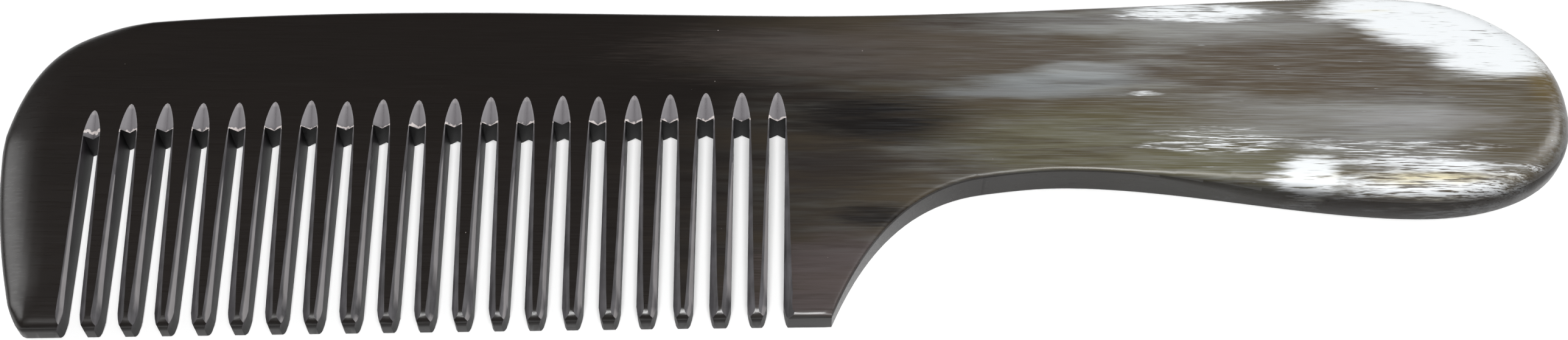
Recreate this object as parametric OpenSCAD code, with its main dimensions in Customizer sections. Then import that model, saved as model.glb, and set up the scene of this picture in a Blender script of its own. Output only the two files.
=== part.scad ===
// Beard comb cut from one flat plate of horn. It lies on its back face, with the
// teeth towards -Y and the grip towards +X. Sizes are in millimetres.
// The comb is a single piece of material. The nodes are its working regions:
// spine, handle, a guard tooth at each end of the row and the teeth between them.
// They meet face to face along the line of the slot ends.

/* [Plate] */
// Overall length, nose to butt
length = 165; // [155:1:175]
// Thickness of the plate at the spine and the handle
plate_t = 4.8; // [4:0.1:6]
// Radius that the outer rim is rounded to
rim_r = 0.9; // [0.3:0.1:1.2]

/* [Spine and handle] */
// Height of the spine's back above the X axis
back_y = 17; // [15:0.5:18]
// Greatest height of the handle above the X axis
handle_top_y = 19.7; // [18:0.1:21]
// Depth of the throat, the narrow of the handle, below the X axis
throat_y = 1.5; // [0.5:0.1:2.5]
// Depth of the handle's belly below the X axis
belly_y = 4.8; // [3:0.1:7]

/* [Teeth] */
// Distance from one slot to the next
pitch = 3.77; // [3.6:0.01:3.8]
// Width of the slots between the teeth
slot_w = 1.7; // [1.4:0.1:2]
// Thickness of the teeth at their tips
tip_t = 3; // [2.4:0.1:4]
// Bevel on the long edges of a tooth at its root
root_bevel = 0.15; // [0.05:0.05:0.3]
// Bevel on the long edges of a tooth near its tip
tip_bevel = 0.65; // [0.3:0.05:0.7]
// Length of the rounded point of a tooth
point_len = 1.6; // [1.2:0.1:3]

/* [Gullets] */
// Length of the V-shaped scoop that opens the end of each slot
scoop_len = 3; // [2:0.1:4]
// Depth of a scoop where it meets its slot
scoop_depth = 0.95; // [0.5:0.05:1.2]
// Radius of the V-edged wheel that cuts the scoops
wheel_r = 10; // [8:1:16]

/* [Hidden] */
TEETH = 19;
CURVE_STEPS = 10;   // pieces in one outline curve
POINT_STEPS = 6;    // pieces round the point of a tooth
ARC_STEPS = 3;      // pieces in one quarter round of the rim
OVER = 1;           // how far a cutter runs past what it cuts
$fn = 64;

// Slot 0 lies between the front guard and tooth 1, slot 19 before the rear guard.
last_slot_x = -1.44;
function slot_x(i) = last_slot_x - (TEETH - i) * pitch;
toe_x = slot_x(0) - slot_w / 2;
heel_x = last_slot_x + slot_w / 2;
tooth_w = pitch - slot_w;

// The slot ends and the tooth tips lie on two straight lines that rise towards +X.
gullet_slope = tan(1.8);
tip_slope = tan(1.4);
function gullet_y(x) = 4.33 + gullet_slope * x;
function tip_y(x) = -17.8 + tip_slope * x;

// Outline knots, anticlockwise from the heel of the rear guard.
rear_foot = [4.3, tip_y(4.3)];
neck = [20, -2.4];
throat = [29.5, -throat_y];
belly = [65.5, -belly_y];
butt = [length / 2, 6.2];
handle_top = [61, handle_top_y];
shoulder = [heel_x, back_y - 0.1];
back_mid = [-30, back_y];
brow = [-70.5, back_y - 1.8];
nose = [0.07 - length / 2, gullet_y(-length / 2)];
front_foot = [-78, tip_y(-78)];
last_gullet = [heel_x, gullet_y(heel_x)];

// Cubic curve from a to d, without its last point. Handles b and c bend it.
function curve(a, b, c, d) = [
    for (i = [0 : CURVE_STEPS - 1])
        let (t = i / CURVE_STEPS, u = 1 - t)
        u * u * u * a + 3 * t * u * u * b + 3 * t * t * u * c + t * t * t * d
];
// Gives every point of a run the rounding radius r as its third number.
function rim(points, r = rim_r) = [for (p = points) [p.x, p.y, r]];
// Unit vector from a towards b.
function toward(a, b) = (b - a) / norm(b - a);

// A fold line, [start, end]: beyond its right-hand side the front face falls to
// the thickness of the tips. Over the spine and the handle it stays level.
LEVEL = [];
tooth_fold = [nose, last_gullet];
heel_fold = [last_gullet, neck];
function beyond(p, fold) = let (d = toward(fold[0], fold[1]), v = p - fold[0]) d.y * v.x - d.x * v.y;
function top_z(p, fold) =
    fold == LEVEL ? plate_t
    : plate_t - (plate_t - tip_t) * beyond(p, fold) / beyond([heel_x, tip_y(heel_x)], fold);

// One solid between rings of points, each ring anticlockwise and above the last.
// The end faces are fans round the points low and high, which see their whole ring.
module skin(rings, low, high) {
    n = len(rings[0]);
    last = len(rings) - 1;
    sides = [
        for (k = [0 : last - 1], i = [0 : n - 1])
            let (j = (i + 1) % n, a = k * n, b = a + n)
            each [[a + i, b + i, b + j], [a + i, b + j, a + j]]
    ];
    below = n * (last + 1);
    bottom = [for (i = [0 : n - 1]) [i, (i + 1) % n, below]];
    top = [for (i = [0 : n - 1]) [last * n + (i + 1) % n, last * n + i, below + 1]];
    polyhedron([for (ring = rings) each ring, low, high], concat(bottom, sides, top));
}

// A piece of the plate. edge is its free rim, an anticlockwise run of
// [x, y, radius], rounded on both faces. At the two ends of the run the rounding
// slides along start_dir and end_dir, so that the piece meets its neighbour flush.
// corners are the points that close the outline, and eye is a point inside that
// sees all of it.
module plate(edge, corners, start_dir, end_dir, fold, eye) {
    last = len(edge) - 1;
    function flat(p) = [p.x, p.y];
    function square_in(i) =
        let (here = flat(edge[i]), d = toward(flat(edge[i - 1]), here) + toward(here, flat(edge[i + 1])))
        [-d.y, d.x] * 2 / (d * d);
    function inward(i) = i == 0 ? start_dir : i == last ? end_dir : square_in(i);
    // The outline at the rounding's angle a: 0 on the faces, 90 on the rim.
    function outline(a) = concat(
        [for (i = [0 : last]) flat(edge[i]) + inward(i) * edge[i].z * (1 - sin(a))],
        corners
    );
    function rise(i, a) = i > last ? 0 : edge[i].z * (1 - cos(a));
    function ring(a, upper) = let (points = outline(a)) [
        for (i = [0 : len(points) - 1])
            let (p = points[i])
            [p.x, p.y, upper ? top_z(p, fold) - rise(i, a) : rise(i, a)]
    ];
    angles = [for (s = [0 : ARC_STEPS]) s * 90 / ARC_STEPS];
    rings = concat(
        [for (a = angles) ring(a, false)],
        [for (s = [ARC_STEPS : -1 : 0]) ring(angles[s], true)]
    );
    skin(rings, [eye.x, eye.y, 0], [eye.x, eye.y, top_z(eye, fold)]);
}

// V-edged wheel whose rim sinks scoop_depth into the face z = 0 at the end of
// slot i, and leaves the face scoop_len further on. It cuts nothing on the
// tooth side of the slot's end.
module wheel_cut(i) {
    chord = [scoop_len, scoop_depth];
    half = norm(chord) / 2;
    square_up = [-chord.y, chord.x] / (2 * half);
    hub = [chord.x / 2, -chord.y / 2] + square_up * sqrt(wheel_r * wheel_r - half * half);
    translate([slot_x(i), gullet_y(slot_x(i)), 0])
        intersection() {
            translate([0, hub.x, hub.y])
                rotate([0, 90, 0])
                    rotate_extrude()
                        polygon([[0, -wheel_r], [wheel_r, 0], [0, wheel_r]]);
            translate([-pitch, -0.1, -scoop_depth - OVER])
                cube([2 * pitch, scoop_len + OVER, scoop_depth + 2 * OVER]);
        }
}

module spine() {
    back = concat(
        curve(shoulder, [-12, back_y - 0.1], [-20, back_y], back_mid),
        curve(back_mid, [-48, back_y], [-62, back_y - 0.8], brow),
        curve(brow, [-79, back_y - 2.8], [1.2 - length / 2, 8], nose),
        [nose]
    );
    color("#2b2522")
        difference() {
            plate(rim(back), [last_gullet], [0, -1], toward(nose, last_gullet), LEVEL, (brow + last_gullet) / 2);
            for (i = [0 : TEETH]) {
                translate([0, 0, plate_t]) wheel_cut(i);
                mirror([0, 0, 1]) wheel_cut(i);
            }
        }
}

module handle() {
    grip = concat(
        curve(neck, [23.2, -throat_y - 0.3], [26, -throat_y], throat),
        curve(throat, [41, -throat_y], [54, -belly_y], belly),
        curve(belly, [74.3, -belly_y], [length / 2, -1.8], butt),
        curve(butt, [length / 2, 15.2], [76, handle_top_y], handle_top),
        curve(handle_top, [52, handle_top_y], [20, back_y - 0.1], shoulder),
        [shoulder]
    );
    color("#5b5644")
        plate(rim(grip), [last_gullet], toward(neck, last_gullet), [0, -1], LEVEL, (belly + handle_top) / 2);
}

module front_guard() {
    foot_r = tip_bevel * 0.8;
    front = curve(nose, [-length / 2 - 0.5, -3.8], [-80.4, -19.4], front_foot);
    edge = concat(
        [for (i = [0 : CURVE_STEPS - 1]) [front[i].x, front[i].y, rim_r + (foot_r - rim_r) * i / CURVE_STEPS]],
        [
            [front_foot.x, front_foot.y, foot_r],
            [toe_x - 1, tip_y(toe_x - 1), foot_r],
            [toe_x, tip_y(toe_x) + 0.9, tip_bevel],
            [toe_x, gullet_y(toe_x), root_bevel]
        ]
    );
    along = toward(nose, last_gullet);
    color("#2b2522") plate(edge, [], along, -along, tooth_fold, (nose + [toe_x, tip_y(toe_x)]) / 2);
}

module rear_guard() {
    foot_r = tip_bevel * 0.8;
    along = toward(last_gullet, neck);
    heel = curve(rear_foot, [7, -11], [11.4, -3.8], neck);
    edge = concat(
        [
            [last_gullet.x, last_gullet.y, root_bevel],
            [heel_x, tip_y(heel_x) + 0.9, tip_bevel],
            [heel_x + 1, tip_y(heel_x + 1), foot_r]
        ],
        [for (i = [0 : CURVE_STEPS - 1]) [heel[i].x, heel[i].y, foot_r + (rim_r - foot_r) * i / CURVE_STEPS]],
        rim([neck])
    );
    color("#332c27") plate(edge, [], along, -along, heel_fold, [rear_foot.x / 2, 0]);
}

// Tooth k stands between slots k - 1 and k.
module tooth(k) {
    x = slot_x(k) - pitch / 2;
    tip = tip_y(x);
    along = toward(nose, last_gullet);
    left = x - tooth_w / 2;
    right = x + tooth_w / 2;
    point = [
        for (s = [0 : POINT_STEPS])
            let (a = 180 + s * 180 / POINT_STEPS)
            [x + tooth_w / 2 * cos(a), tip + point_len * (1 + sin(a)), tip_bevel * (1 + 0.6 * sin(a))]
    ];
    edge = concat([[left, gullet_y(left), root_bevel]], point, [[right, gullet_y(right), root_bevel]]);
    color("#332c27") plate(edge, [], along, -along, tooth_fold, [x, (gullet_y(x) + tip) / 2]);
}

function tooth_name(k) = str("tooth_", k < 10 ? "0" : "", k);

spine();
handle();
front_guard();
rear_guard();
for (k = [1 : TEETH])
    tooth(k);
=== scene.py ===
import math
import random

import bpy
import numpy as np
from mathutils import Matrix, Vector


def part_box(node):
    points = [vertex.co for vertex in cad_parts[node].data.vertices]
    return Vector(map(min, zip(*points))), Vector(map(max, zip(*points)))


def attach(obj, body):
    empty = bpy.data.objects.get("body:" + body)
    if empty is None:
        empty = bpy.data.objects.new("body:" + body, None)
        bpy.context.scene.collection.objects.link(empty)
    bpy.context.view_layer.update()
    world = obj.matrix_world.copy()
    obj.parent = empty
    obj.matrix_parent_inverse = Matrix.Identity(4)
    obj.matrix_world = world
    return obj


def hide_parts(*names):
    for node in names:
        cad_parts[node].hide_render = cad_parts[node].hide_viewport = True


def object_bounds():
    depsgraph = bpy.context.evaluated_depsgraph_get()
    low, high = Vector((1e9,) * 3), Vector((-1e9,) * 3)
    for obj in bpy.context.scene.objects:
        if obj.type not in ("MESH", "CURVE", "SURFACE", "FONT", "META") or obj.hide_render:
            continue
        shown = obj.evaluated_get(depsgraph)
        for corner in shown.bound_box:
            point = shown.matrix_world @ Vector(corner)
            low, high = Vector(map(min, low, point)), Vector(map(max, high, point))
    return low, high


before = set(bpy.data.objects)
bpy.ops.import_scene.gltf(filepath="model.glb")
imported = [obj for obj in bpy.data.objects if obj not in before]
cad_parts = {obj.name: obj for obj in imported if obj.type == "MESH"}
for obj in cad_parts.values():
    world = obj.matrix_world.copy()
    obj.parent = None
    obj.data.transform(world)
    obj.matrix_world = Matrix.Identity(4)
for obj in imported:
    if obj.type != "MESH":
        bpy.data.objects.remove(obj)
cad_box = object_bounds()

# ---------------------------------------------------------------------------
# The blank: one flat plate of horn, sawn to the comb's outline and filed round
# at the rim. Its front face is level over the spine and the handle and falls
# towards the tooth tips, where the plate is ground thinner.
# ---------------------------------------------------------------------------
MM = 0.001
TEETH = 19
TOOTH_NODES = [f"tooth_{k:02d}" for k in range(1, TEETH + 1)]

plate_low, plate_high = cad_box
nose_x, butt_x = plate_low[0] / MM, plate_high[0] / MM
handle_top_y = plate_high[1] / MM
plate_t = plate_high[2] / MM
back_y = (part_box("spine")[1] / MM).y
belly_y = -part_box("handle")[0].y / MM
first_tooth = [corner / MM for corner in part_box(TOOTH_NODES[0])]
last_tooth = [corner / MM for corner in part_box(TOOTH_NODES[-1])]
first_x = (first_tooth[0].x + first_tooth[1].x) / 2
last_x = (last_tooth[0].x + last_tooth[1].x) / 2
pitch = (last_x - first_x) / (TEETH - 1)
tooth_w = last_tooth[1].x - last_tooth[0].x
slot_w = pitch - tooth_w


def along_row(first, last, x):
    """A height that changes evenly from the first tooth to the last, at x."""
    return first + (last - first) * (x - first_x) / (last_x - first_x)


def gullet_y(x):
    return along_row(first_tooth[1].y, last_tooth[1].y, x)


def tip_y(x):
    return along_row(first_tooth[0].y, last_tooth[0].y, x)


slot_xs = [first_x + (i - 0.5) * pitch for i in range(TEETH + 1)]
split_x = slot_xs[-1]
heel_x = split_x + slot_w / 2
throat_y = -1.5
neck = (20, -2.4)
rear_foot = (4.3, tip_y(4.3))
front_foot = (-78, tip_y(-78))

# Each knot is the handle before it, the point and the handle after it.
outline = [
    ((0, rear_foot[1]), rear_foot, (7, -11)),
    ((11.4, -3.8), neck, (23.2, -1.9)),
    ((26, throat_y), (29.5, throat_y), (41, throat_y)),
    ((54, -belly_y), (65.5, -belly_y), (74.3, -belly_y)),
    ((butt_x, -1.8), (butt_x, 6.2), (butt_x, 15.2)),
    ((76, handle_top_y), (61, handle_top_y), (52, handle_top_y)),
    ((20, back_y - 0.1), (heel_x, back_y - 0.1), (-12, back_y - 0.1)),
    ((-20, back_y), (-30, back_y), (-48, back_y)),
    ((-62, back_y - 0.8), (-70.5, back_y - 1.8), (-79, back_y - 2.8)),
    ((nose_x + 1.2, 8), (nose_x + 0.07, gullet_y(nose_x)), (nose_x - 0.45, -3.8)),
    ((-80.4, -19.4), front_foot, (-70, tip_y(-70))),
]


def linear(hex_colour):
    """An sRGB hex colour as linear RGBA."""
    parts = [int(hex_colour[i:i + 2], 16) / 255 for i in (1, 3, 5)]
    return tuple(
        c / 12.92 if c <= 0.04045 else ((c + 0.055) / 1.055) ** 2.4 for c in parts) + (1,)


def add_node(tree, kind, inputs=(), output=0, **settings):
    """Adds a node with its settings and links, and gives one of its outputs."""
    node = tree.nodes.new("ShaderNode" + kind)
    for name, value in settings.items():
        setattr(node, name, value)
    for name, value in dict(inputs).items():
        if isinstance(value, bpy.types.NodeSocket):
            tree.links.new(value, node.inputs[name])
        else:
            node.inputs[name].default_value = value
    return node.outputs[output]


# Polished horn: scraped, sanded and buffed to a satin gloss. The hair-fine fibres run
# along the comb. The toothed end is near-black brown, and towards the handle it clears
# to smoky grey and olive, with milky white brush strokes where the horn is unpigmented.
polished_horn = bpy.data.materials.new("polished_horn")
polished_horn.use_nodes = True
horn = polished_horn.node_tree
place = add_node(horn, "TexCoord", output="Object")
place_mm = add_node(horn, "VectorMath", {0: place, "Scale": 1000}, operation="SCALE")
along = add_node(horn, "SeparateXYZ", {0: place_mm}, "X")
up = add_node(horn, "SeparateXYZ", {0: place_mm}, "Y")

# Streaks along the fibres, from broad smoke to single bristle-like hairs: the length and
# width in mm, the fineness and the seed of each.
streaks = []
for length, width, detail, seed in [
    (26, 3.4, 4, 3),
    (13, 0.9, 5, 11),
    (7, 0.16, 3, 23),
    (4.2, 0.16, 3, 31),
]:
    spot = add_node(horn, "Mapping", {
        "Vector": place_mm, "Location": (seed, seed, seed),
        "Scale": (1 / length, 1 / width, 0.5 / width)})
    streaks.append(add_node(horn, "TexNoise", {
        "Vector": spot, "Scale": 1, "Detail": detail, "Roughness": 0.6}, "Fac"))
smoke, streak, fibre, bristle = streaks

# Soft steps in those streaks and in the place along or across the comb: what is
# stepped, where the step starts and ends in it, and the levels before and after.
drift = add_node(horn, "Math", {0: smoke, 1: -0.5}, operation="ADD")
drift = add_node(horn, "Math", {0: drift, 1: 34}, operation="MULTIPLY")
border = add_node(horn, "Math", {0: along, 1: drift}, operation="ADD")
dust = add_node(horn, "TexVoronoi", {"Vector": place_mm, "Scale": 0.3}, "Distance")
ragged_dust = add_node(horn, "Math", {0: bristle, 1: 0.06}, operation="MULTIPLY")
ragged_dust = add_node(horn, "Math", {0: dust, 1: ragged_dust}, operation="ADD")
facing = add_node(horn, "SeparateXYZ", {0: add_node(horn, "NewGeometry", output="Normal")}, "Z")
steps = {}
for name, value, start, end, low, high in [
    ("clearing", border, -18, 48, 0, 1),
    ("silver", streak, 0.34, 0.68, 0, 1),
    ("umber", smoke, 0.40, 0.62, 0, 1),
    ("streaky", streak, 0.34, 0.54, 0.6, 1),
    ("hairs", fibre, 0.42, 0.72, 0, 1),
    ("hairs_show", along, 0, 50, 0, 0.3),
    ("cream", smoke, 0.53, 0.70, 0, 1),
    ("flecks", bristle, 0.70, 0.76, 0, 1),
    ("flecks_show", along, 25, 50, 0, 1),
    ("specks", ragged_dust, 0.055, 0.045, 0, 1),
    ("turned", facing, 0.92, 0.4, 0, 0.92),
    ("lower_side", up, 15, 10, 0, 1),
    ("butt_end", along, 75, 79, 0, 1),
]:
    steps[name] = add_node(horn, "MapRange", {
        "Value": value, "From Min": start, "From Max": end, "To Min": low, "To Max": high},
        interpolation_type="SMOOTHSTEP")


def patch(centre, radii, ragged, soft):
    """1 inside an ellipse given in mm, with its edge broken up along the fibres."""
    spot = add_node(horn, "Mapping", {
        "Vector": place_mm, "Location": (-centre[0] / radii[0], -centre[1] / radii[1], 0),
        "Scale": (1 / radii[0], 1 / radii[1], 0)})
    reach = add_node(horn, "VectorMath", {0: spot}, "Value", operation="LENGTH")
    torn = add_node(horn, "Math", {0: streak, 1: bristle}, operation="ADD")
    torn = add_node(horn, "Math", {0: torn, 1: smoke}, operation="ADD")
    torn = add_node(horn, "Math", {0: torn, 1: -1.5}, operation="ADD")
    torn = add_node(horn, "Math", {0: torn, 1: ragged}, operation="MULTIPLY")
    reach = add_node(horn, "Math", {0: reach, 1: torn}, operation="ADD")
    return add_node(horn, "MapRange", {
        "Value": reach, "From Min": 1 + soft, "From Max": 1 - soft},
        interpolation_type="SMOOTHSTEP")


# Clouds in the horn: where each lies, how far it reaches, its colour and its strength.
CLOUD_RAGGED = 1.1
CLOUD_SOFT = 0.5
clouds = [
    ((7, -14), (10, 5), "#453d3d", 0.75),
    ((14, 12.5), (24, 3.2), "#4b4440", 0.5),
    ((9.0, 4.3), (8.6, 2.7), "#0f0c0b", 1.0),
    ((5, -1.5), (6, 3), "#1c1716", 0.7),
    ((9.4, -6.7), (4.6, 1.3), "#110e0d", 0.95),
    ((31, 10.4), (5, 0.9), "#999e9f", 0.55),
    ((28, 9.0), (8, 1.0), "#7d8284", 0.6),
    ((24, 7.6), (9, 0.7), "#6d7072", 0.6),
    ((34, 2.0), (15, 4.2), "#4f4b30", 0.6),
    ((48, -1.5), (10, 2.6), "#54523a", 0.6),
    ((55, 11.6), (13, 4.4), "#463c30", 0.9),
    ((57, 4.6), (16, 2.6), "#767673", 0.6),
    ((75.5, 3.6), (5.5, 4.6), "#4a4231", 0.85),
    ((79.8, 10), (2.2, 3.0), "#5d4d22", 0.6),
    ((44, 16.2), (15, 2.0), "#8f9190", 0.4),
    ((67, 4.9), (9, 1.2), "#98989a", 0.3),
]

# Milky strokes: where each lies, how far it reaches, how ragged it is and the level of
# the bristle noise under which the stroke breaks up.
STROKE_SOFT = 0.3
BREAK_START, BREAK_END = -0.05, 0.07
milky = [
    ((63.5, 18.2), (7.5, 1.6), 1.3, 0.36),
    ((69.5, 16.4), (8.5, 2.5), 1.1, 0.33),
    ((75.0, 12.9), (6.2, 3.0), 1.1, 0.33),
    ((66.5, -2.5), (10.5, 2.3), 2.2, 0.44),
    ((54.0, -1.9), (3.4, 2.2), 1.8, 0.36),
    ((43.5, 17.8), (6.5, 0.9), 2.4, 0.44),
    ((45.5, 1.8), (5.5, 2.0), 3.0, 0.54),
    ((64, 0.8), (10.0, 1.2), 3.0, 0.56),
    ((45, -3.4), (3.0, 0.6), 2.0, 0.52),
    ((37.5, 7.6), (1.8, 0.3), 2.0, 0.52),
]

# The layers of colour, each laid over those before it by its mask. The dark end comes
# first, and the border to the clear horn is drawn out along the fibres.
dark_end = add_node(horn, "Mix", {
    "Factor": smoke, 6: linear("#0d0907"), 7: linear("#15100d")}, 2, data_type="RGBA")
smoky = add_node(horn, "Mix", {
    "Factor": steps["silver"], 6: linear("#433b34"), 7: linear("#767671")}, 2, data_type="RGBA")
smoky = add_node(horn, "Mix", {
    "Factor": steps["umber"], 6: smoky, 7: linear("#4b4336")}, 2, data_type="RGBA")
milk = add_node(horn, "Mix", {
    "Factor": steps["cream"], 6: linear("#d0d3d5"), 7: linear("#c8c0a2")}, 2, data_type="RGBA")
layers = [(smoky, steps["clearing"])]
for centre, radii, shade, strength in clouds:
    mask = patch(centre, radii, CLOUD_RAGGED, CLOUD_SOFT)
    mask = add_node(horn, "Math", {0: mask, 1: steps["streaky"]}, operation="MULTIPLY")
    mask = add_node(horn, "Math", {0: mask, 1: strength}, operation="MULTIPLY")
    layers.append((linear(shade), mask))
brushed = add_node(horn, "Math", {
    0: steps["hairs"], 1: steps["hairs_show"]}, operation="MULTIPLY")
layers.append((linear("#93979a"), brushed))
white = 0.0
for centre, radii, ragged, bare in milky:
    unbroken = add_node(horn, "MapRange", {
        "Value": bristle, "From Min": bare + BREAK_START, "From Max": bare + BREAK_END},
        interpolation_type="SMOOTHSTEP")
    stroke = patch(centre, radii, ragged, STROKE_SOFT)
    stroke = add_node(horn, "Math", {0: stroke, 1: unbroken}, operation="MULTIPLY")
    white = add_node(horn, "Math", {0: white, 1: stroke}, operation="MAXIMUM")
layers.append((milk, white))
flecks = add_node(horn, "Math", {
    0: steps["flecks"], 1: steps["flecks_show"]}, operation="MULTIPLY")
layers.append((linear("#b4b9bd"), flecks))
layers.append((linear("#6a6461"), steps["specks"]))

# Painted shade: round the belly and the butt, the sides that turn away from the light above are
# painted near black.
painted_rim_shade = add_node(horn, "Math", {
    0: steps["lower_side"], 1: steps["butt_end"]}, operation="MAXIMUM")
painted_rim_shade = add_node(horn, "Math", {
    0: steps["turned"], 1: painted_rim_shade}, operation="MULTIPLY")
layers.append((linear("#0e0b0a"), painted_rim_shade))
colour = dark_end
for layer, mask in layers:
    colour = add_node(horn, "Mix", {"Factor": mask, 6: colour, 7: layer}, 2, data_type="RGBA")

gloss = add_node(horn, "MapRange", {"Value": fibre, "To Min": 0.2, "To Max": 0.4})
grain = add_node(horn, "Bump", {"Strength": 0.12, "Distance": 0.02 * MM, "Height": fibre})
surface = horn.nodes["Principled BSDF"]
horn.links.new(colour, surface.inputs["Base Color"])
horn.links.new(gloss, surface.inputs["Roughness"])
horn.links.new(grain, surface.inputs["Normal"])
surface.inputs["IOR"].default_value = 1.54
surface.inputs["Specular IOR Level"].default_value = 0.4

# Rim horn: the same horn on the sides of the plate that face the teeth's side. They are
# filed and scraped but see little of the buffing wheel, so they are duller.
rim_horn = polished_horn.copy()
rim_horn.name = "rim_horn"
rim_horn.node_tree.nodes["Principled BSDF"].inputs["Specular IOR Level"].default_value = 0.14

bpy.ops.object.select_all(action="DESELECT")
bpy.ops.curve.primitive_bezier_curve_add(location=(0, 0, 0))
drawn_rim = bpy.context.object
drawn_rim.data.dimensions = "2D"
drawn_rim.data.fill_mode = "NONE"
drawn_rim.data.resolution_u = 24
spline = drawn_rim.data.splines[0]
spline.bezier_points.add(len(outline) - 2)
for knot, (before, point, after) in zip(spline.bezier_points, outline):
    knot.handle_left_type = knot.handle_right_type = "FREE"
    knot.handle_left = (before[0] * MM, before[1] * MM, 0)
    knot.co = (point[0] * MM, point[1] * MM, 0)
    knot.handle_right = (after[0] * MM, after[1] * MM, 0)
spline.use_cyclic_u = True
bpy.ops.object.convert(target="MESH")
rim_points = np.array([v.co.xy for v in drawn_rim.data.vertices]) / MM
bpy.data.objects.remove(drawn_rim)

# The blank starts as a grid between the lower and the upper edge, drawn up to the plate's
# thickness. Its columns stand where the outline turns, and its rows lie closer
# together towards both edges, where the rounding is.
RIM_ROWS = [0, 0.05, 0.15, 0.3, 0.5, 0.8, 1.2, 1.8, 2.6, 3.6]
MIDDLE_ROWS = 14
COLUMN_GAP = 0.12
END_GAP = 0.01
rim_points = np.roll(rim_points, -rim_points[:, 0].argmin(), axis=0)
butt = rim_points[:, 0].argmax()
lower_edge = rim_points[:butt + 1]
upper_edge = np.vstack([rim_points[butt:], rim_points[:1]])[::-1]
columns = [rim_points[0, 0] + END_GAP]
for x in sorted(rim_points[:, 0]):
    if columns[-1] + COLUMN_GAP < x < butt_x - COLUMN_GAP:
        columns.append(x)
columns += [butt_x - 5 * END_GAP, butt_x - END_GAP]
row_count = 2 * len(RIM_ROWS) + MIDDLE_ROWS
bpy.ops.mesh.primitive_grid_add(
    x_subdivisions=len(columns) - 1, y_subdivisions=row_count - 1, size=2)
blank = bpy.context.object
blank.name = "blank"
blank.data.materials.append(polished_horn)
for vertex in blank.data.vertices:
    column = round((vertex.co.x + 1) / 2 * (len(columns) - 1))
    row = round((vertex.co.y + 1) / 2 * (row_count - 1))
    x = columns[column]
    low = np.interp(x, *lower_edge.T)
    high = np.interp(x, *upper_edge.T)
    squeeze = min(1, (high - low) / (3 * RIM_ROWS[-1]))
    edge_rows = np.array(RIM_ROWS) * squeeze
    middle = np.linspace(low + edge_rows[-1], high - edge_rows[-1], MIDDLE_ROWS + 2)[1:-1]
    y = np.concatenate([low + edge_rows, middle, high - edge_rows[::-1]])[row]
    vertex.co = Vector((x, y, 0)) * MM
bpy.ops.object.mode_set(mode="EDIT")
bpy.ops.mesh.select_all(action="SELECT")
bpy.ops.mesh.extrude_region_move(TRANSFORM_OT_translate={"value": (0, 0, plate_t * MM)})
bpy.ops.mesh.select_all(action="SELECT")
bpy.ops.mesh.normals_make_consistent(inside=False)
bpy.ops.object.mode_set(mode="OBJECT")


def ramp(value, start, end):
    """0 before start, 1 after end, and an even S-curve between them."""
    t = np.clip((value - start) / (end - start), 0, 1)
    return t * t * (3 - 2 * t)


def rim_distance(points):
    """Distance of each point from the outline, in the plane of the plate."""
    starts, ends = rim_points, np.roll(rim_points, -1, axis=0)
    runs = ends - starts
    lengths = (runs ** 2).sum(axis=1)
    to_point = points[:, None, :] - starts[None]
    t = np.clip((to_point * runs).sum(axis=2) / lengths, 0, 1)
    return np.linalg.norm(to_point - t[..., None] * runs, axis=2).min(axis=1)


def past_fold(x, y):
    """How far a point lies beyond the line where the face starts to fall to the tips."""
    below_gullets = gullet_y(x) - y
    fold = np.array(neck) - (heel_x, gullet_y(heel_x))
    fold /= np.linalg.norm(fold)
    below_heel = fold[1] * (x - heel_x) - fold[0] * (y - gullet_y(heel_x))
    return np.maximum(np.where(x < split_x, below_gullets, below_heel), 0)


TIP_T = 3.0
FALL_POWER = 1.2


def front_z(x, y):
    """Height of the plate's front face, which is TIP_T at the tips."""
    tooth_len = gullet_y(heel_x) - tip_y(heel_x)
    fall = np.clip(past_fold(x, y) / tooth_len, 0, 1.1) ** FALL_POWER
    return plate_t - (plate_t - TIP_T) * fall


def rounding(x, y):
    """Width and depth in mm of the rounding on the front at the rim nearest a point.

    The rim is filed hard along the back and in the throat, and handled soft at the
    nose, the butt, the belly and the tips.
    """
    nose = (1 - ramp(x, -75, -68)) * ramp(y, -19.5, -14)
    butt = ramp(x, 68, 80)
    belly = ramp(x, 34, 56) * (1 - ramp(y, 2, 8)) * (1 - butt)
    tips = (1 - ramp(y - tip_y(x), 1, 3)) * (1 - ramp(x, -1, 0))
    width = 0.6 + 4.4 * nose + 2.4 * butt + 2.0 * belly + 0.6 * tips
    depth = 0.5 + 1.0 * nose + 2.6 * butt + 3.2 * belly + 0.7 * tips
    return width, depth


def fallen(distance, width, depth):
    """How far an elliptical rounding falls below the face at a distance from the rim."""
    t = 1 - np.clip(distance / width, 0, 1)
    return depth * (1 - np.sqrt(1 - t * t))


BACK_ROUND_DEPTH = 0.5
SIDE_Z = 0.45
verts = blank.data.vertices
co = np.zeros(len(verts) * 3)
verts.foreach_get("co", co)
co = co.reshape(-1, 3) / MM
distance = rim_distance(co[:, :2])
width, depth = rounding(co[:, 0], co[:, 1])
front = co[:, 2] > plate_t / 2
co[front, 2] = (front_z(co[:, 0], co[:, 1]) - fallen(distance, width, depth))[front]
co[~front, 2] = fallen(distance, 0.4 + width / 3, BACK_ROUND_DEPTH)[~front]
verts.foreach_set("co", (co * MM).ravel())
blank.data.update()

# The sides that are rim horn are told by their normals: steep, and towards the teeth.
blank.data.materials.append(rim_horn)
for face in blank.data.polygons:
    if abs(face.normal.z) < SIDE_Z and face.normal.y < 0:
        face.material_index = 1


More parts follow.
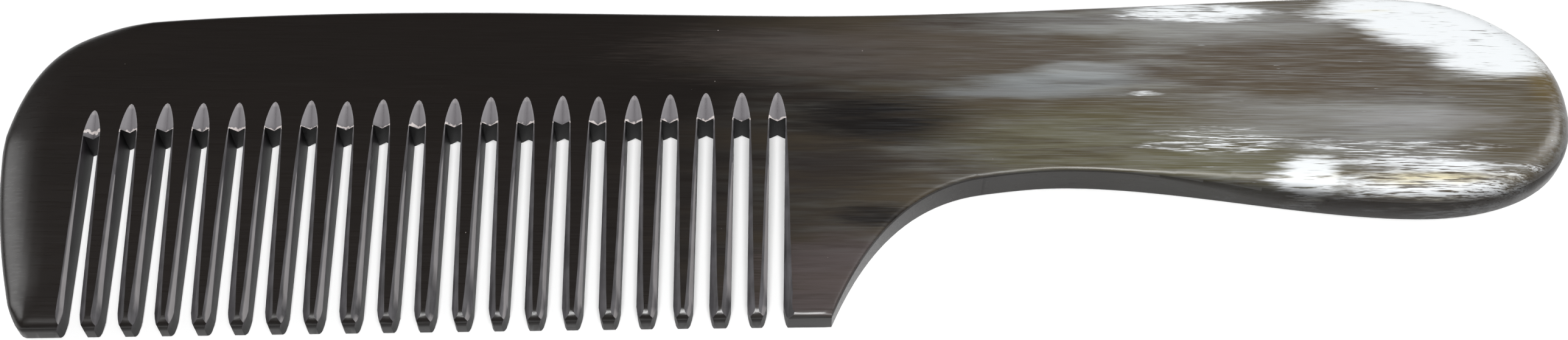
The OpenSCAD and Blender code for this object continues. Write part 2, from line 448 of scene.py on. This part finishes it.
# ---------------------------------------------------------------------------
# The slots: a saw cuts each one square through the plate, and a V-edged file
# then opens its end with a pointed scoop and bevels both edges, on each face.
# ---------------------------------------------------------------------------
def cut_surface(name, dark, light, shine):
    """The bare horn that a tool leaves: matt, with the marks of its strokes."""
    material = bpy.data.materials.new(name)
    material.use_nodes = True
    tree = material.node_tree
    place = add_node(tree, "TexCoord", output="Object")
    spot = add_node(tree, "Mapping", {"Vector": place, "Scale": (3800, 260, 500)})
    marks = add_node(tree, "TexNoise", {
        "Vector": spot, "Scale": 1, "Detail": 4}, "Fac")
    cloud = add_node(tree, "TexNoise", {"Vector": place, "Scale": 500, "Detail": 3}, "Fac")
    tone = add_node(tree, "Math", {0: marks, 1: cloud}, operation="ADD")
    tone = add_node(tree, "MapRange", {"Value": tone, "From Min": 0.7, "From Max": 1.3})
    colour = add_node(tree, "Mix", {
        "Factor": tone, 6: linear(dark), 7: linear(light)}, 2, data_type="RGBA")
    bump = add_node(tree, "Bump", {"Strength": 0.35, "Distance": 0.03 * MM, "Height": marks})
    surface = tree.nodes["Principled BSDF"]
    tree.links.new(colour, surface.inputs["Base Color"])
    tree.links.new(bump, surface.inputs["Normal"])
    surface.inputs["Roughness"].default_value = 0.5
    surface.inputs["Specular IOR Level"].default_value = shine
    return material


def slot_line(tree):
    """Height in mm above the line of the slot ends."""
    place = add_node(tree, "TexCoord", output="Object")
    rise = (gullet_y(last_x) - gullet_y(first_x)) / (last_x - first_x)
    across = add_node(tree, "VectorMath", {
        0: place, 1: (-rise / MM, 1 / MM, 0)}, "Value", operation="DOT_PRODUCT")
    return add_node(tree, "Math", {0: across, 1: -gullet_y(0)}, operation="ADD")


# Filed horn: the scoops and bevels, left matt by the file. The scoops are the palest, and
# at their lower edge the saw has chipped the horn to a whitish burr. Sharp edges carry a
# painted highlight, a little paler, where they would catch the light.
filed_horn = cut_surface("filed_horn", "#1c1a1c", "#434144", 0.4)
tree = filed_horn.node_tree
surface = tree.nodes["Principled BSDF"]
bare = surface.inputs["Base Color"].links[0].from_socket
chips = add_node(tree, "TexNoise", {
    "Vector": add_node(tree, "TexCoord", output="Object"), "Scale": 1500, "Detail": 3}, "Fac")
scoop = add_node(tree, "MapRange", {
    "Value": slot_line(tree), "From Min": -1, "From Max": 0.5, "To Max": 0.6})
bare = add_node(tree, "Mix", {
    "Factor": scoop, 6: bare, 7: linear("#898689")}, 2, data_type="RGBA")
height = add_node(tree, "Math", {0: slot_line(tree), 1: chips}, operation="ADD")
above = add_node(tree, "MapRange", {"Value": height, "From Min": 0.36, "From Max": 0.42})
below = add_node(tree, "MapRange", {"Value": height, "From Min": 0.7, "From Max": 0.62})
burr = add_node(tree, "Math", {0: above, 1: below}, operation="MULTIPLY")
pale = add_node(tree, "Mix", {"Factor": burr, 6: bare, 7: linear("#b9b1af")}, 2, data_type="RGBA")
# Painted highlight: sharp edges, found by their pointiness, are painted paler in place of the
# glints they catch.
sharp = add_node(tree, "NewGeometry", output="Pointiness")
painted_edge_highlight = add_node(tree, "MapRange", {
    "Value": sharp, "From Min": 0.55, "From Max": 0.66, "To Max": 0.35})
pale = add_node(tree, "Mix", {"Factor": painted_edge_highlight, 6: pale, 7: linear("#a39f9f")}, 2, data_type="RGBA")
tree.links.new(pale, surface.inputs["Base Color"])

# Sawn horn: the walls of the slots, dull, with painted shade that darkens them towards
# the slot end and low down between the facing walls.
sawn_horn = cut_surface("sawn_horn", "#1e1b1d", "#3b373b", 0.2)
tree = sawn_horn.node_tree
surface = tree.nodes["Principled BSDF"]
bare = surface.inputs["Base Color"].links[0].from_socket
# Painted shade: the walls are painted darker towards the slot end and low in the slot, where
# little light reaches.
painted_slot_end_shade = add_node(tree, "MapRange", {"Value": slot_line(tree), "From Min": -1.4, "From Max": -0.3})
height = add_node(tree, "SeparateXYZ", {0: add_node(tree, "TexCoord", output="Object")}, "Z")
deep = add_node(tree, "MapRange", {"Value": height, "From Min": 3.2 * MM, "From Max": 1.6 * MM})
shade = add_node(tree, "Math", {0: painted_slot_end_shade, 1: deep}, operation="MAXIMUM")
dark = add_node(tree, "Mix", {"Factor": shade, 6: bare, 7: linear("#0a0909")}, 2, data_type="RGBA")
tree.links.new(dark, surface.inputs["Base Color"])


def drawn_cutter(name, material, profile, stations):
    """A cutter with one X-Z profile, drawn along Y. A station is y, z, X scale, Z scale."""
    bpy.ops.object.select_all(action="DESELECT")
    bpy.ops.mesh.primitive_circle_add(vertices=len(profile), fill_type="NGON")
    cutter = bpy.context.object
    cutter.name = name
    cutter.data.materials.append(material)
    y, z, wide, high = stations[0]
    for vertex, (px, pz) in zip(cutter.data.vertices, profile):
        vertex.co = Vector((px * wide, y, z + pz * high)) * MM
    bpy.ops.object.mode_set(mode="EDIT")
    bpy.ops.mesh.select_all(action="SELECT")
    for before, now in zip(stations, stations[1:]):
        shift = (0, (now[0] - before[0]) * MM, (now[1] - before[1]) * MM)
        bpy.ops.mesh.extrude_region_move(TRANSFORM_OT_translate={"value": shift})
        bpy.ops.transform.resize(value=(now[2] / before[2], 1, now[3] / before[3]),
                                 center_override=(0, now[0] * MM, now[1] * MM))
    bpy.ops.mesh.select_all(action="SELECT")
    bpy.ops.mesh.normals_make_consistent(inside=False)
    bpy.ops.object.mode_set(mode="OBJECT")
    return cutter


def cut_with(blank, cutter, places):
    """Copies the cutter to each place and cuts all the copies out of the blank at once."""
    bpy.ops.object.select_all(action="DESELECT")
    for place in places:
        copy = cutter.copy()
        copy.data = cutter.data.copy()
        copy.data.transform(place)
        bpy.context.collection.objects.link(copy)
        copy.select_set(True)
    bpy.context.view_layer.objects.active = copy
    bpy.ops.object.join()
    row = bpy.context.object
    cut = blank.modifiers.new("cut", "BOOLEAN")
    cut.operation = "DIFFERENCE"
    cut.solver = "EXACT"
    cut.material_mode = "TRANSFER"
    cut.object = row
    bpy.context.view_layer.objects.active = blank
    bpy.ops.object.modifier_apply(modifier=cut.name)
    bpy.data.objects.remove(row)
    bpy.data.objects.remove(cutter)


# Saw cut, from the slot's end to past the tips, where its mouth flares out round
# the points of the teeth on both sides.
slot_len = gullet_y(0) - tip_y(0)
mouth = [(1.7, 0), (1.1, 0.1), (0.5, 0.26), (0.12, 0.48), (-0.05, 0.62), (-1.5, 0.7)]
half_w = slot_w / 2
saw_profile = [(half_w, -1), (half_w, 1), (-half_w, 1), (-half_w, -1)]
saw = drawn_cutter("saw_cut", sawn_horn, saw_profile, [(0, plate_t / 2, 1, plate_t)] + [
    (short - slot_len, plate_t / 2, 1 + flare / half_w, plate_t) for short, flare in mouth
])

# V-file: a pointed keel with rounded lips, one unit deep, that sinks from nothing at
# the scoop's point to full depth at the tips. A stroke is its place along the slot and
# its depth in mm.
KEEL = [(0, -1), (0.80, -0.2), (0.93, -0.11), (1.03, -0.045), (1.12, 0.01), (1.2, 0.08)]
keel_profile = KEEL[::-1] + [(-x, z) for x, z in KEEL[1:]]
SCOOP_LEN = 3.0
strokes = [
    (SCOOP_LEN, 0.03), (2.85, 0.2), (2.5, 0.36), (1.9, 0.53), (1.2, 0.68), (0.5, 0.79),
    (0, 0.85), (-2, 0.93), (-5, 1.05), (-9, 1.16), (-13, 1.24), (-16.5, 1.33), (-19, 1.43),
    (-20.6, 1.52), (-21.6, 1.62), (-23.5, 1.66),
]
keel = drawn_cutter("keel", filed_horn, keel_profile, [
    (y, float(front_z(split_x - 0.1, gullet_y(split_x) + y)), deep, deep) for y, deep in strokes
])
back_strokes = [(y, 0.6 * deep + 0.3) for y, deep in strokes]
back_keel = drawn_cutter("back_keel", filed_horn, [(x, -z) for x, z in keel_profile], [
    (y, 0, deep, deep) for y, deep in back_strokes
])

# Sawn by hand, each slot ends a little high or low, and the first one stops short.
FIRST_SHORT = 0.6
UNEVEN = 0.12
LEAN = 0.25
random.seed(7)
saw_ends, file_ends = [], []
for i, x in enumerate(slot_xs):
    short = FIRST_SHORT if i == 0 else random.uniform(-UNEVEN, UNEVEN)
    stretch = (gullet_y(x) - short - tip_y(x)) / slot_len
    end = Matrix.Translation(Vector((x, gullet_y(x) - short, 0)) * MM)
    lean = Matrix.Rotation(math.radians(random.uniform(-LEAN, LEAN)), 4, "Z")
    saw_ends.append(end @ lean @ Matrix.Diagonal((1, stretch, 1, 1)))
    file_ends.append(end)
cut_with(blank, saw, saw_ends)
cut_with(blank, keel, file_ends)
cut_with(blank, back_keel, file_ends)


# ---------------------------------------------------------------------------
# The regions of the comb: spine, handle, two guards and 19 teeth. The real comb is one
# piece of horn, so each is parted from the finished shape by flat, invisible seams.
# ---------------------------------------------------------------------------
SEAM = 0.9
FAR = 100
DOUBLED = 0.0001 * MM
STRAIGHT = math.radians(8)


def region(corners):
    """The part of the blank inside an upright prism with these corners, as its own piece."""
    bpy.ops.object.select_all(action="DESELECT")
    bpy.ops.mesh.primitive_circle_add(vertices=len(corners), fill_type="NGON")
    prism = bpy.context.object
    prism.data.materials.append(polished_horn)
    for vertex, (x, y) in zip(prism.data.vertices, corners):
        vertex.co = Vector((x, y, -1)) * MM
    bpy.ops.object.mode_set(mode="EDIT")
    bpy.ops.mesh.select_all(action="SELECT")
    bpy.ops.mesh.extrude_region_move(TRANSFORM_OT_translate={"value": (0, 0, (plate_t + 2) * MM)})
    bpy.ops.mesh.select_all(action="SELECT")
    bpy.ops.mesh.normals_make_consistent(inside=False)
    bpy.ops.object.mode_set(mode="OBJECT")
    piece = blank.copy()
    piece.data = blank.data.copy()
    bpy.context.collection.objects.link(piece)
    keep = piece.modifiers.new("keep", "BOOLEAN")
    keep.operation = "INTERSECT"
    keep.solver = "EXACT"
    keep.material_mode = "TRANSFER"
    keep.object = prism
    bpy.ops.object.select_all(action="DESELECT")
    piece.select_set(True)
    bpy.context.view_layer.objects.active = piece
    bpy.ops.object.modifier_apply(modifier=keep.name)
    bpy.data.objects.remove(prism)
    return piece


# The seams run just below the slot ends, up the middle of the last slot and along the
# line where the rear guard leaves the handle.
heel_start = Vector((heel_x, gullet_y(heel_x), 0))
heel_run = (Vector((*neck, 0)) - heel_start).normalized()
row_left = (-FAR, gullet_y(-FAR) - SEAM)
row_right = (split_x, gullet_y(split_x) - SEAM)
heel_left = (split_x, heel_start.y + (split_x - heel_x) * heel_run.y / heel_run.x)
heel_right = tuple((heel_start + heel_run * FAR / 2)[:2])
spine = region([row_left, row_right, (split_x, FAR), (-FAR, FAR)])
handle = region([heel_left, heel_right, (FAR, -FAR / 2), (FAR, FAR), (split_x, FAR)])
rear_guard = region([(split_x, -FAR), (FAR / 2, -FAR), heel_right, heel_left])
row = region([(-FAR, -FAR), (split_x, -FAR), row_right, row_left])
bpy.ops.object.mode_set(mode="EDIT")
bpy.ops.mesh.select_all(action="SELECT")
bpy.ops.mesh.separate(type="LOOSE")
bpy.ops.object.mode_set(mode="OBJECT")
teeth = sorted(bpy.context.selected_objects, key=lambda o: min(v.co.x for v in o.data.vertices))
bpy.data.objects.remove(blank)

SMOOTH_ANGLE = math.radians(28)
pieces = {"spine": spine, "handle": handle, "rear_guard": rear_guard, "front_guard": teeth[0]}
pieces.update(zip(TOOTH_NODES, teeth[1:]))
for node, piece in pieces.items():
    piece.name = node + "_horn"
    bpy.ops.object.select_all(action="DESELECT")
    piece.select_set(True)
    bpy.context.view_layer.objects.active = piece

    # The cuts leave some doubled points, and points half-way along a straight edge.
    bpy.ops.object.mode_set(mode="EDIT")
    bpy.ops.mesh.select_mode(type="VERT")
    bpy.ops.mesh.select_all(action="SELECT")
    bpy.ops.mesh.remove_doubles(threshold=DOUBLED)
    bpy.ops.mesh.select_all(action="DESELECT")
    bpy.ops.object.mode_set(mode="OBJECT")
    ends = [[] for _ in piece.data.vertices]
    for edge in piece.data.edges:
        for here, there in (edge.vertices, reversed(edge.vertices)):
            ends[here].append(piece.data.vertices[there].co)
    for vertex, away_ends in zip(piece.data.vertices, ends):
        if len(away_ends) == 2:
            one, other = (end - vertex.co for end in away_ends)
            vertex.select = 0 in (one.length, other.length) or one.angle(-other) < STRAIGHT
    bpy.ops.object.mode_set(mode="EDIT")
    bpy.ops.mesh.dissolve_verts()
    bpy.ops.object.mode_set(mode="OBJECT")
    bpy.ops.object.shade_smooth_by_angle(angle=SMOOTH_ANGLE)
    weigh = piece.modifiers.new("weigh", "WEIGHTED_NORMAL")
    weigh.keep_sharp = True
    bpy.ops.object.modifier_apply(modifier=weigh.name)
    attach(piece, "root")
    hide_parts(node)


# ---------------------------------------------------------------------------
# Stage: a plain pale floor under the comb, a camera that looks down on it from the
# teeth's side, and three softboxes.
# ---------------------------------------------------------------------------
bpy.ops.mesh.primitive_plane_add(size=3)
floor = bpy.context.object
floor.name = "floor"
floor_mat = bpy.data.materials.new("pale_floor")
floor_mat.use_nodes = True
surface = floor_mat.node_tree.nodes["Principled BSDF"]
surface.inputs["Base Color"].default_value = (0.9, 0.9, 0.9, 1)
surface.inputs["Roughness"].default_value = 0.8
floor.data.materials.append(floor_mat)

# The camera is hand-held, so it is rolled a little too.
TILT = math.radians(27)
ROLL = math.radians(0.5)
DISTANCE = 0.2745
aim = Vector((-0.0007, 0.0006, 0))
camera_data = bpy.data.cameras.new("camera")
camera_data.sensor_width = 36
camera_data.lens = 59.5
camera_data.clip_start = 0.01
camera = bpy.data.objects.new("camera", camera_data)
bpy.context.collection.objects.link(camera)
turn = Matrix.Rotation(TILT, 4, "X") @ Matrix.Rotation(ROLL, 4, "Z")
away = Vector((0, -math.sin(TILT), math.cos(TILT)))
camera.matrix_world = Matrix.Translation(aim + away * DISTANCE) @ turn
bpy.context.scene.camera = camera

world = bpy.data.worlds.new("studio")
world.use_nodes = True
world.node_tree.nodes["Background"].inputs[0].default_value = (1, 1, 1, 1)
world.node_tree.nodes["Background"].inputs[1].default_value = 0.15
bpy.context.scene.world = world
bpy.context.scene.view_settings.view_transform = "Standard"


def softbox(name, place, size, power):
    """A rectangular light at a place, turned towards the comb."""
    data = bpy.data.lights.new(name, "AREA")
    data.shape = "RECTANGLE"
    data.size, data.size_y = size
    data.energy = power
    light = bpy.data.objects.new(name, data)
    bpy.context.collection.objects.link(light)
    place = Vector(place)
    aimed = (-place).to_track_quat("-Z", "Y").to_matrix().to_4x4()
    light.matrix_world = Matrix.Translation(place) @ aimed


# The main light is close round the lens, so that the slots are lit right through.
softbox("lens_light", away * 0.45, (0.16, 0.16), 2.35)
softbox("left_box", (-0.62, 0.14, 0.42), (0.3, 0.45), 1.9)
softbox("right_box", (0.62, 0.14, 0.42), (0.3, 0.45), 2.6)
